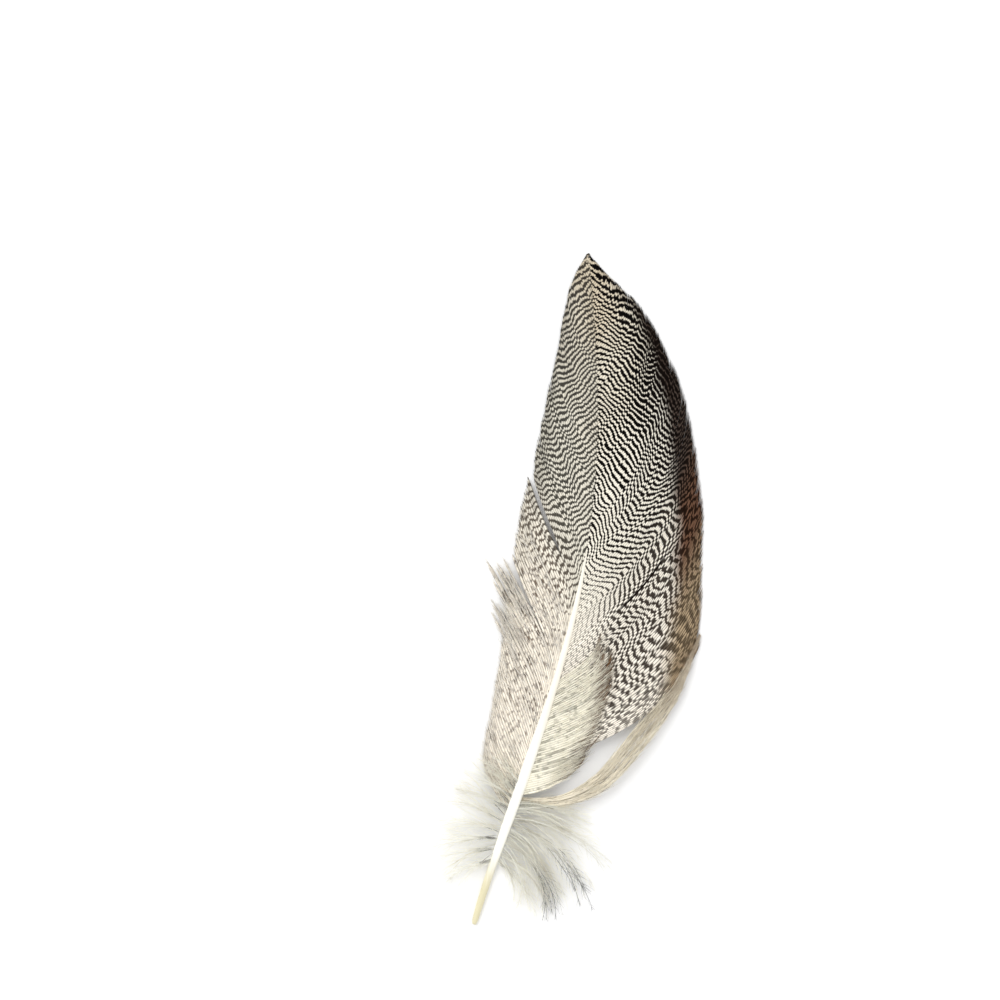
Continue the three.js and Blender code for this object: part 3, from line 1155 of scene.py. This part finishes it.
@dataclass(frozen=True)
class Barbules:
    """Fine hairs that branch off barbs."""

    spacing: float
    length: float
    angle: float
    half: float
    span: Pair
    rise: float = 0.25
    spread: float = 12.0
    least: int = 2
    lengths: Pair = (0.7, 0.6)
    shorter: float = 0.6
    shorter_from: Ease = (0.7, 1.0)
    taper: Row = (1.0, 0.8, 0.25)
    bends: Pair = (1.0, 0.7)
    levelling: float = 0.8
    lowest: float = 0.03

    def branch(self, strands: Strands, lines: Array, marks: dict[str, Array], rng: Rng) -> None:
        """Adds hairs to strands, on both sides of each line.

        Args:
            strands: where the hairs are added.
            lines: the barbs that they grow on.
            marks: numbers that the barbs carry, which the hairs take over.
            rng: seeded source of numbers.
        """
        longest = lengths_along(lines)[:, -1]
        ahead = np.gradient(lines, axis=1)
        stops = np.arange(lines.shape[1])
        for index, line in enumerate(lines):
            count = 2 * max(self.least, int(longest[index] * (self.span[1] - self.span[0]) / self.spacing))
            share = np.sort(rng.uniform(*self.span, count))
            place = share * stops[-1]
            base = [np.interp(place, stops, line[:, axis]) for axis in range(3)]
            heading = np.arctan2(*(np.interp(place, stops, ahead[index, :, axis]) for axis in (0, 1)))
            sides = np.where(np.arange(count) % 2 == 0, 1.0, -1.0)
            turn = np.radians(self.angle + self.spread * rng.standard_normal(count)) * sides
            size = self.length * (self.lengths[0] + self.lengths[1] * rng.random(count))
            size = size * (1.0 - self.shorter * smooth_step(*self.shorter_from, share))
            rise = self.rise * size * rng.standard_normal(count)
            points = [np.stack(base, axis=1)]
            for step, bend in enumerate(self.bends):
                way = heading + turn * bend
                move = np.stack([np.sin(way), np.cos(way)], axis=1) * (0.5 * size)[:, None]
                climb = 0.5 * rise * (1.0 - step * self.levelling)
                points.append(points[-1] + np.column_stack([move, climb]))
            hair = np.stack(points, axis=1)
            hair[..., 2] = np.maximum(hair[..., 2], self.lowest)
            carried = {name: np.interp(place, stops, mark[index]) for name, mark in marks.items()}
            strands.add(hair, self.half * np.array(self.taper), **carried)


@dataclass(frozen=True)
class LooseLock:
    """A free lock of barbs that bows out under the right vane."""

    finish: SoftFinish
    path: tuple[tuple[float, float, float], ...] = (
        (4, 22.6, 1.4), (11, 23.8, 2.3), (17.2, 28, 2.6), (22.8, 37, 2.2), (27.6, 46, 1.4), (30.2, 56, 0.4),
    )
    width: float = 3.1
    # How wide the lock is at its root and at its end, as shares of its middle
    ends: Pair = (0.3, 0.08)
    root_from: Ease = (0.0, 0.5)
    end_from: Ease = (0.55, 1.0)
    stray: float = 0.22
    stray_widths: Pair = (2.0, 5.0)
    heave: float = 0.1
    heave_widths: Pair = (1.0, 4.0)
    half: float = 0.085
    taper: float = 0.7
    taper_from: Ease = (0.7, 1.0)
    lowest: float = 0.06
    bar_length: float = 2.2
    barbs: int = 34
    steps: int = 24
    hairs: Barbules = Barbules(1.6, 3.0, angle=6.0, half=0.035, span=(0.05, 0.98), rise=0.1, spread=6.0)
    fibre: Fibre = Fibre(3, 0.8)
    seed: int = 5

    def build(self, tree: StrandTree) -> Object:
        """Builds the lock.

        Args:
            tree: grows the strands.

        Returns:
            The finished piece.
        """
        rng = np.random.default_rng(self.seed)
        steps = shares(self.steps)
        shape = (self.barbs, len(steps))
        middle = smooth_curve(self.path, steps)[None]
        belly = blend(self.ends[0], 1.0, smooth_step(*self.root_from, steps))
        belly = belly * blend(1.0, self.ends[1], smooth_step(*self.end_from, steps))
        spread = np.linspace(-0.5, 0.5, self.barbs)[:, None] * self.width
        spread = spread + self.stray * drift(rng, shape, self.stray_widths) * steps
        lines = middle + level_sides(middle) * (spread * belly)[..., None]
        lines[..., 2] += self.heave * drift(rng, shape, self.heave_widths)
        half = self.half * (1.0 - self.taper * smooth_step(*self.taper_from, steps))
        bars = lengths_along(lines) / self.bar_length
        marks = {"reach": np.broadcast_to(steps, shape), "bars": bars, "tone": barb_tones(rng, shape)}
        lines[..., 2] = np.maximum(lines[..., 2], self.lowest)
        strands = Strands()
        strands.add(lines, half, **marks)
        self.hairs.branch(strands, lines, marks, rng)
        return tree.grow("loose_lock", strands, self.fibre, self.finish.material(), "vane")


@dataclass(frozen=True)
class Fringe:
    """Fine hairs that stand off the lower left vane."""

    finish: SoftFinish
    # First and last root of the barbs that carry each kind of hair, and the hair
    kinds: tuple[tuple[float, float, Barbules], ...] = (
        (0.0, 0.31, Barbules(0.5, 2.4, angle=12.0, half=0.035, span=(0.8, 1.0), spread=13.0)),
        (0.0, 0.44, Barbules(2.4, 2.6, angle=6.0, half=0.05, span=(0.06, 1.0), rise=0.06, spread=9.0)),
        (0.29, 0.368, Barbules(0.55, 4.0, angle=5.0, half=0.032, span=(0.6, 1.0), rise=0.1, spread=6.0)),
    )
    above: float = 0.06
    fibre: Fibre = Fibre(3, 0.8)
    seed: int = 7

    def build(self, tree: StrandTree, roots: Array, lines: Array) -> Object:
        """Builds the hairs.

        Args:
            tree: grows the strands.
            roots: where the left vane's barbs leave the shaft.
            lines: those barbs' points in millimetres.

        Returns:
            The finished piece.
        """
        rng = np.random.default_rng(self.seed)
        strands = Strands()
        for first, last, hairs in self.kinds:
            low = lines[(roots > first) & (roots < last)] + np.array([0.0, 0.0, self.above])
            shape = low.shape[:2]
            marks = {"reach": np.broadcast_to(shares(shape[1] - 1), shape), "tone": barb_tones(rng, shape)}
            hairs.branch(strands, low, {**marks, "bars": lengths_along(low)}, rng)
        return tree.grow("left_fringe", strands, self.fibre, self.finish.material(), "vane")


@dataclass(frozen=True)
class Down:
    """Fluff at the foot of the shaft: soft barbs that branch into fine hairs."""

    finish: SoftFinish
    # Root height, first and last heading in degrees from the tip's side, length, and how grey its end is
    right: tuple[Row, ...] = (
        (12, 114, 166, 12, 0.0), (13.8, 110, 174, 14, 0.2), (15.6, 106, 178, 17, 1.0),
        (17, 102, 166, 18, 0.1), (18.4, 99, 158, 21, 1.0), (19.6, 88, 142, 20, 0.2),
        (20.8, 80, 126, 15, 0.1), (21.8, 74, 112, 13, 0.0),
    )
    left: tuple[Row, ...] = (
        (12, 112, 146, 11, 0.0), (13.6, 100, 132, 12, 0.0), (15.2, 88, 118, 13, 0.0),
        (16.8, 76, 104, 13, 0.0), (18.4, 66, 92, 12, 0.0), (20, 58, 80, 11, 0.0),
        (21.6, 50, 68, 10, 0.0), (23.2, 44, 60, 9, 0.0), (25, 38, 52, 8, 0.0),
    )
    right_barbs: int = 12
    left_barbs: int = 9
    steps: int = 14
    # How far barbs swing in degrees, how far that moves their roots, and how much they curl and wave
    swing: float = 7.0
    root_swing: float = 0.08
    root_stray: float = 0.4
    lengths: Pair = (0.72, 1.12)
    curl: Pair = (0.6, 6.0)
    wave: float = 4.0
    waves: float = 1.2
    rise: float = 0.7
    rise_spread: float = 0.45
    rise_span: float = 0.9
    bed: float = 0.5
    lowest: float = 0.08
    half: float = 0.095
    taper: float = 0.6
    bar_length: float = 6.0
    # Which barbs of a lock turn grey and from where, and the short dark dashes near the shaft
    bunch: Row = (0.3, 0.64, 0.06)
    grey_from: Ease = (0.25, 0.7)
    dashes: Row = (0.14, 0.28, 0.06)
    dashed: float = 0.3
    left_dash: float = 0.8
    right_dash: float = 0.28
    hairs: Barbules = Barbules(1.3, 2.5, angle=22.0, half=0.03, span=(0.06, 0.99), rise=0.15)
    fibre: Fibre = Fibre(3, 1.0, smooth=False)
    seed: int = 11

    def lock(self, shaft: Shaft, side: Side, row: Row, rng: Rng) -> Array:
        """Lays the barbs of one lock of down.

        Args:
            shaft: the shaft that it grows from.
            side: the side it grows on.
            row: root height, first heading, last heading, length and greyness.
            rng: seeded source of numbers.

        Returns:
            Points in millimetres, by barb and step.
        """
        height, first, last, length, _ = row
        barbs = self.right_barbs if side is Side.RIGHT else self.left_barbs
        steps = shares(self.steps)
        lines = []
        for swing in np.sort(rng.normal(0.0, self.swing, barbs)):
            stray = rng.uniform(-self.root_stray, self.root_stray)
            root = (height + self.root_swing * swing + stray) / shaft.length
            size = length * rng.uniform(*self.lengths)
            curl = self.curl[0] * swing + rng.normal(0.0, self.curl[1])
            wave = self.wave * np.sin(TURN * (steps * self.waves + rng.random()))
            degrees = first + swing + (last - first + curl) * steps + wave
            heading = np.radians(degrees) * side.value
            start = shaft.point(np.array([root]))[0]
            move = size / self.steps * np.stack([np.sin(heading), np.cos(heading)], axis=1)
            flat = start[:2] + np.concatenate([[[0.0, 0.0]], np.cumsum(move[:-1], axis=0)])
            fall = max(start[2] - self.bed, 0.0) * steps ** 2
            rise = self.rise + rng.normal(0.0, self.rise_spread)
            lift = rise * np.sin(math.pi * steps * self.rise_span)
            lines.append(np.column_stack([flat, np.clip(start[2] - fall + lift, self.lowest, None)]))
        return np.array(lines)

    def build(self, shaft: Shaft, tree: StrandTree) -> None:
        """Builds the down on each side.

        Args:
            shaft: the shaft that it grows from.
            tree: grows the strands.
        """
        rng = np.random.default_rng(self.seed)
        material = self.finish.material()
        for side, rows, dash, name in (
            (Side.RIGHT, self.right, self.right_dash, "right_down"),
            (Side.LEFT, self.left, self.left_dash, "left_down"),
        ):
            strands = Strands()
            for row in rows:
                lines = self.lock(shaft, side, row, rng)
                shape = lines.shape[:2]
                steps = np.broadcast_to(shares(self.steps), shape)
                bunch = window(*self.bunch, shares(shape[0] - 1))[:, None]
                grey = row[4] * smooth_step(*self.grey_from, steps) * bunch
                dashed = (rng.random(shape[0]) < self.dashed)[:, None]
                # The down's own grey ends and short dark dashes, carried in the mark that the vanes use for
                # a slit's painted shadow
                seam = np.clip(grey + dash * window(*self.dashes, steps) * dashed, 0.0, 1.0)
                bars = lengths_along(lines) / self.bar_length
                marks = {"reach": steps, "tone": barb_tones(rng, shape), "bars": bars}
                strands.add(lines, self.half * (1.0 - self.taper * steps), seam=seam, **marks)
                self.hairs.branch(strands, lines, {**marks, "seam": grey}, rng)
            tree.grow(name, strands, self.fibre, material, "down")


# Studio


@dataclass(frozen=True)
class Studio:
    """Camera straight above, pale floor and soft light."""

    lean: float = 9.683
    frame_width: float = 172.58
    focus: float = 100.0
    sensor: float = 36.0
    feather_height: float = 2.5
    above: Pair = (-17.98, 14.74)
    sky: float = 1.0
    lamp_power: float = 4.4
    lamp_size: float = 0.7
    lamp_place: Row = (-0.55, 0.45, 0.85)
    floor_half: float = 1.5
    paper: Surface = Surface("floor_paper", 0.9, 0.1, colour=paint(248, 248, 248))
    clip: Pair = (0.01, 10.0)

    def camera(self) -> None:
        """Hangs the camera above the feather, leaning as the picture does."""
        data = bpy.data.cameras.new("camera")
        data.lens = self.focus
        data.sensor_width = self.sensor
        data.clip_start, data.clip_end = self.clip
        camera = add_object("camera", data)
        height = self.frame_width * self.focus / self.sensor + self.feather_height
        camera.location = (self.above[0] * MM, self.above[1] * MM, height * MM)
        camera.rotation_euler = (0.0, 0.0, math.radians(self.lean))
        bpy.context.scene.camera = camera

    def light(self) -> None:
        """Sets an even sky and one large soft lamp from the upper left."""
        scene = bpy.context.scene
        scene.view_settings.view_transform = "Standard"
        world = bpy.data.worlds.new("sky")
        world.use_nodes = True
        background = world.node_tree.nodes["Background"]
        background.inputs["Color"].default_value = (1.0, 1.0, 1.0, 1.0)
        background.inputs["Strength"].default_value = self.sky
        scene.world = world
        data = bpy.data.lights.new("lamp", "AREA")
        data.energy = self.lamp_power
        data.size = self.lamp_size
        lamp = add_object("lamp", data)
        x, y, z = self.lamp_place
        lamp.location = self.lamp_place
        lamp.rotation_euler = (math.atan2(math.hypot(x, y), z), 0.0, math.atan2(x, -y))

    def floor(self) -> None:
        """Lays the pale floor that the feather rests on."""
        half = self.floor_half
        mesh = bpy.data.meshes.new("floor")
        corners = [(-half, -half, 0.0), (half, -half, 0.0), (half, half, 0.0), (-half, half, 0.0)]
        mesh.from_pydata(corners, [], [(0, 1, 2, 3)])
        mesh.materials.append(self.paper.start()[0])
        add_object("floor", mesh)


# Colours and marks of each piece

RIGHT_FINISH = VaneFinish(
    surface=Surface("barred_right", 0.75, 0.03),
    pale=paints((252, 244, 230), (244, 238, 223), (226, 218, 200), (208, 194, 170)),
    dark=paints((46, 34, 25), (16, 12, 10), (8, 6, 5)),
    margin=paints((170, 147, 116), (106, 68, 44), (62, 46, 38)),
    depth=(0.95, 1.0),
    foot=(0.3, 0.6),
    line=(0.46, 0.72, -0.2, 0.34),
    line_outward=(0.05, 0.9, -0.15, 0.55),
    line_tip=(0.7, 0.9, 0.0, -0.42),
    margin_from=0.64,
    margin_depth=0.96,
    painted_groove_shade=(0.36, 0.62, 0.8, 0.5),
)
LEFT_FINISH = VaneFinish(
    surface=Surface("barred_left", 0.75, 0.06),
    pale=paints((255, 246, 230), (222, 217, 202), (212, 205, 189), (204, 192, 170)),
    dark=paints((98, 80, 64), (44, 40, 32), (12, 10, 8)),
    margin=paints((246, 238, 222), (190, 184, 168), (84, 80, 70)),
    depth=(0.92, 0.92),
    foot=(0.36, 0.56),
    line=(0.4, 0.65, -0.36, 0.05),
    line_outward=(0.05, 0.9, -0.05, 0.1),
    near_line=(0.46, 0.64, -0.2, 0.0),
    near_fade=(0.35, 0.54, 0.15, 0.0),
    strokes=(0.34, 0.52, 5.0, 0.5),
    waves=(0.34, 0.52, 0.3, 1.0),
    margin_from=0.7,
    margin_depth=0.3,
    margin_bar=(0.3, 0.42, 0.7, 0.5),
    painted_groove_shade=(0.36, 0.62, 0.4, 0.25),
    mottle=(0.3, 0.5, 0.52, 0.26),
    ripple=1.1,
    softness=0.46,
)
SOFT_FINISH = SoftFinish(
    surface=Surface("soft_barbs", 0.75, 0.2, sheen=0.1),
    colours=paints((247, 242, 224), (96, 90, 72), (98, 72, 46)),
    fleck_depth=0.6,
    tips=(0.52, 1.0, 0.0, 1.0),
    painted_groove_shade=0.34,
)
FRINGE_FINISH = SoftFinish(
    surface=Surface("fringe_hairs", 0.8, 0.15, sheen=0.15),
    colours=paints((255, 250, 240), (120, 94, 70), (246, 242, 232)),
    fleck_depth=0.5,
    tips=(0.8, 1.0, 0.0, 0.4),
)
LOOSE_FINISH = SoftFinish(
    surface=Surface("loose_barbs", 0.7, 0.2, sheen=0.1),
    colours=paints((244, 236, 216), (112, 92, 64), (150, 122, 90)),
    fleck_depth=0.65,
    tips=(0.6, 1.0, 0.0, 0.6),
)
DOWN_FINISH = SoftFinish(
    surface=Surface("down_fluff", 0.9, 0.1, sheen=0.2, glow_through=0.7),
    colours=paints((255, 253, 240), (214, 205, 182), (30, 30, 32)),
    fleck_depth=0.55,
    tips=(0.9, 1.0, 0.0, 0.0),
)
QUILL_FINISH = QuillFinish(
    surface=Surface("quill_horn", 0.38, 0.5, coat=0.25),
    # Foot, low shaft, upper shaft and tip: the pure white of the low shaft is partly the horn's own white
    # and partly a painted highlight
    horn=paints((220, 212, 176), (255, 254, 246), (248, 242, 228), (150, 140, 122)),
)


@dataclass(frozen=True)
class Feather:
    """The whole feather, built piece by piece round one shaft."""

    shaft: Shaft = Shaft()
    right: Vane = Vane(
        name="right_vane",
        side=Side.RIGHT,
        roots=(0.25, 0.996),
        ends_root=1.0,
        ends=(
            (30.4, 54), (27.1, 77), (23.3, 90), (19.2, 99),
            (14.8, 105.5), (10.2, 110.6), (5.2, 114), (-0.2, 118),
        ),
        barbs=165,
        crowding=1.25,
        finish=RIGHT_FINISH,
        seed=1,
        slits=(Slit(root=0.4119, reach=(0.36, 0.6), gap=0.15, shade=1.0),),
    )
    left: Vane = Vane(
        name="left_vane",
        side=Side.LEFT,
        roots=(0.17, 0.996),
        ends_root=1.0,
        ends=(
            (-3.4, 29), (-3.3, 52), (-4, 69), (-3.3, 83),
            (-2.8, 95), (-2.5, 105), (-2.2, 112.5), (-0.2, 118),
        ),
        barbs=140,
        crowding=1.25,
        finish=LEFT_FINISH,
        seed=2,
        angles=((0.17, 58), (0.24, 33), (0.32, 18), (0.45, 15), (0.6, 30), (0.8, 35), (1.0, 7)),
        steps=22,
        slits=(Slit(root=0.484, reach=(0.3, 1.4), gap=0.95, spread=0.03),),
        tuft=Tuft(roots=(0.3, 0.362), push=2.4, ragged=0.06),
        barring=Barring(
            period=0.84, low_period=1.35, period_from=(0.36, 0.62), low_slip=0.5, slip_from=(0.4, 0.62)
        ),
    )
    soft: Vane = Vane(
        name="soft_vane",
        side=Side.RIGHT,
        roots=(0.2, 0.37),
        ends_root=0.37,
        ends=((13.4, 30.5), (15.4, 36.5), (15.9, 43), (15.4, 49), (12.9, 53.5)),
        barbs=48,
        finish=SOFT_FINISH,
        seed=3,
        angles=((0.2, 64), (0.28, 50), (0.36, 34)),
        thin_from=(0.3, 0.36),
        thin_share=0.4,
        lift=0.45,
        cover=0.62,
        least_half=0.09,
        ragged=0.05,
        flutter=0.14,
        steps=22,
        tuck=0.55,
    )
    soft_fibre: Fibre = Fibre(4, 0.5)
    soft_hairs: Barbules = Barbules(2.0, 4.2, angle=3.0, half=0.04, span=(0.0, 0.95), rise=0.04, spread=4.0)
    soft_hair_seed: int = 103

    def build(self) -> None:
        """Builds every piece of the feather."""
        tree = StrandTree()
        self.shaft.build(QUILL_FINISH)
        beds = {}
        for vane in (self.right, self.left):
            strands, beds[vane.side] = vane.strands(self.shaft)
            tree.grow(vane.name, strands, vane.fibre, vane.finish.material(), "vane")
        strands, lines = self.soft.strands(self.shaft, beds[Side.RIGHT])
        marks = {name: strands.batches[0][1][name] for name in ("bars", "reach", "tone")}
        self.soft_hairs.branch(strands, lines, marks, np.random.default_rng(self.soft_hair_seed))
        tree.grow(self.soft.name, strands, self.soft_fibre, self.soft.finish.material(), "vane")
        Fringe(FRINGE_FINISH).build(tree, self.left.root_places(), beds[Side.LEFT])
        LooseLock(LOOSE_FINISH).build(tree)
        Down(DOWN_FINISH).build(self.shaft, tree)


def corners(box: tuple) -> list[list[float]]:
    """Returns a box's corners as plain lists of metres."""
    return [[float(part) for part in corner] for corner in box]


def main() -> None:
    """Builds the feather and the studio."""
    logging.basicConfig(level=logging.INFO, format="%(name)s: %(message)s")
    studio = Studio()
    studio.camera()
    studio.light()
    studio.floor()
    Feather().build()


if __name__ == "__main__":
    main()
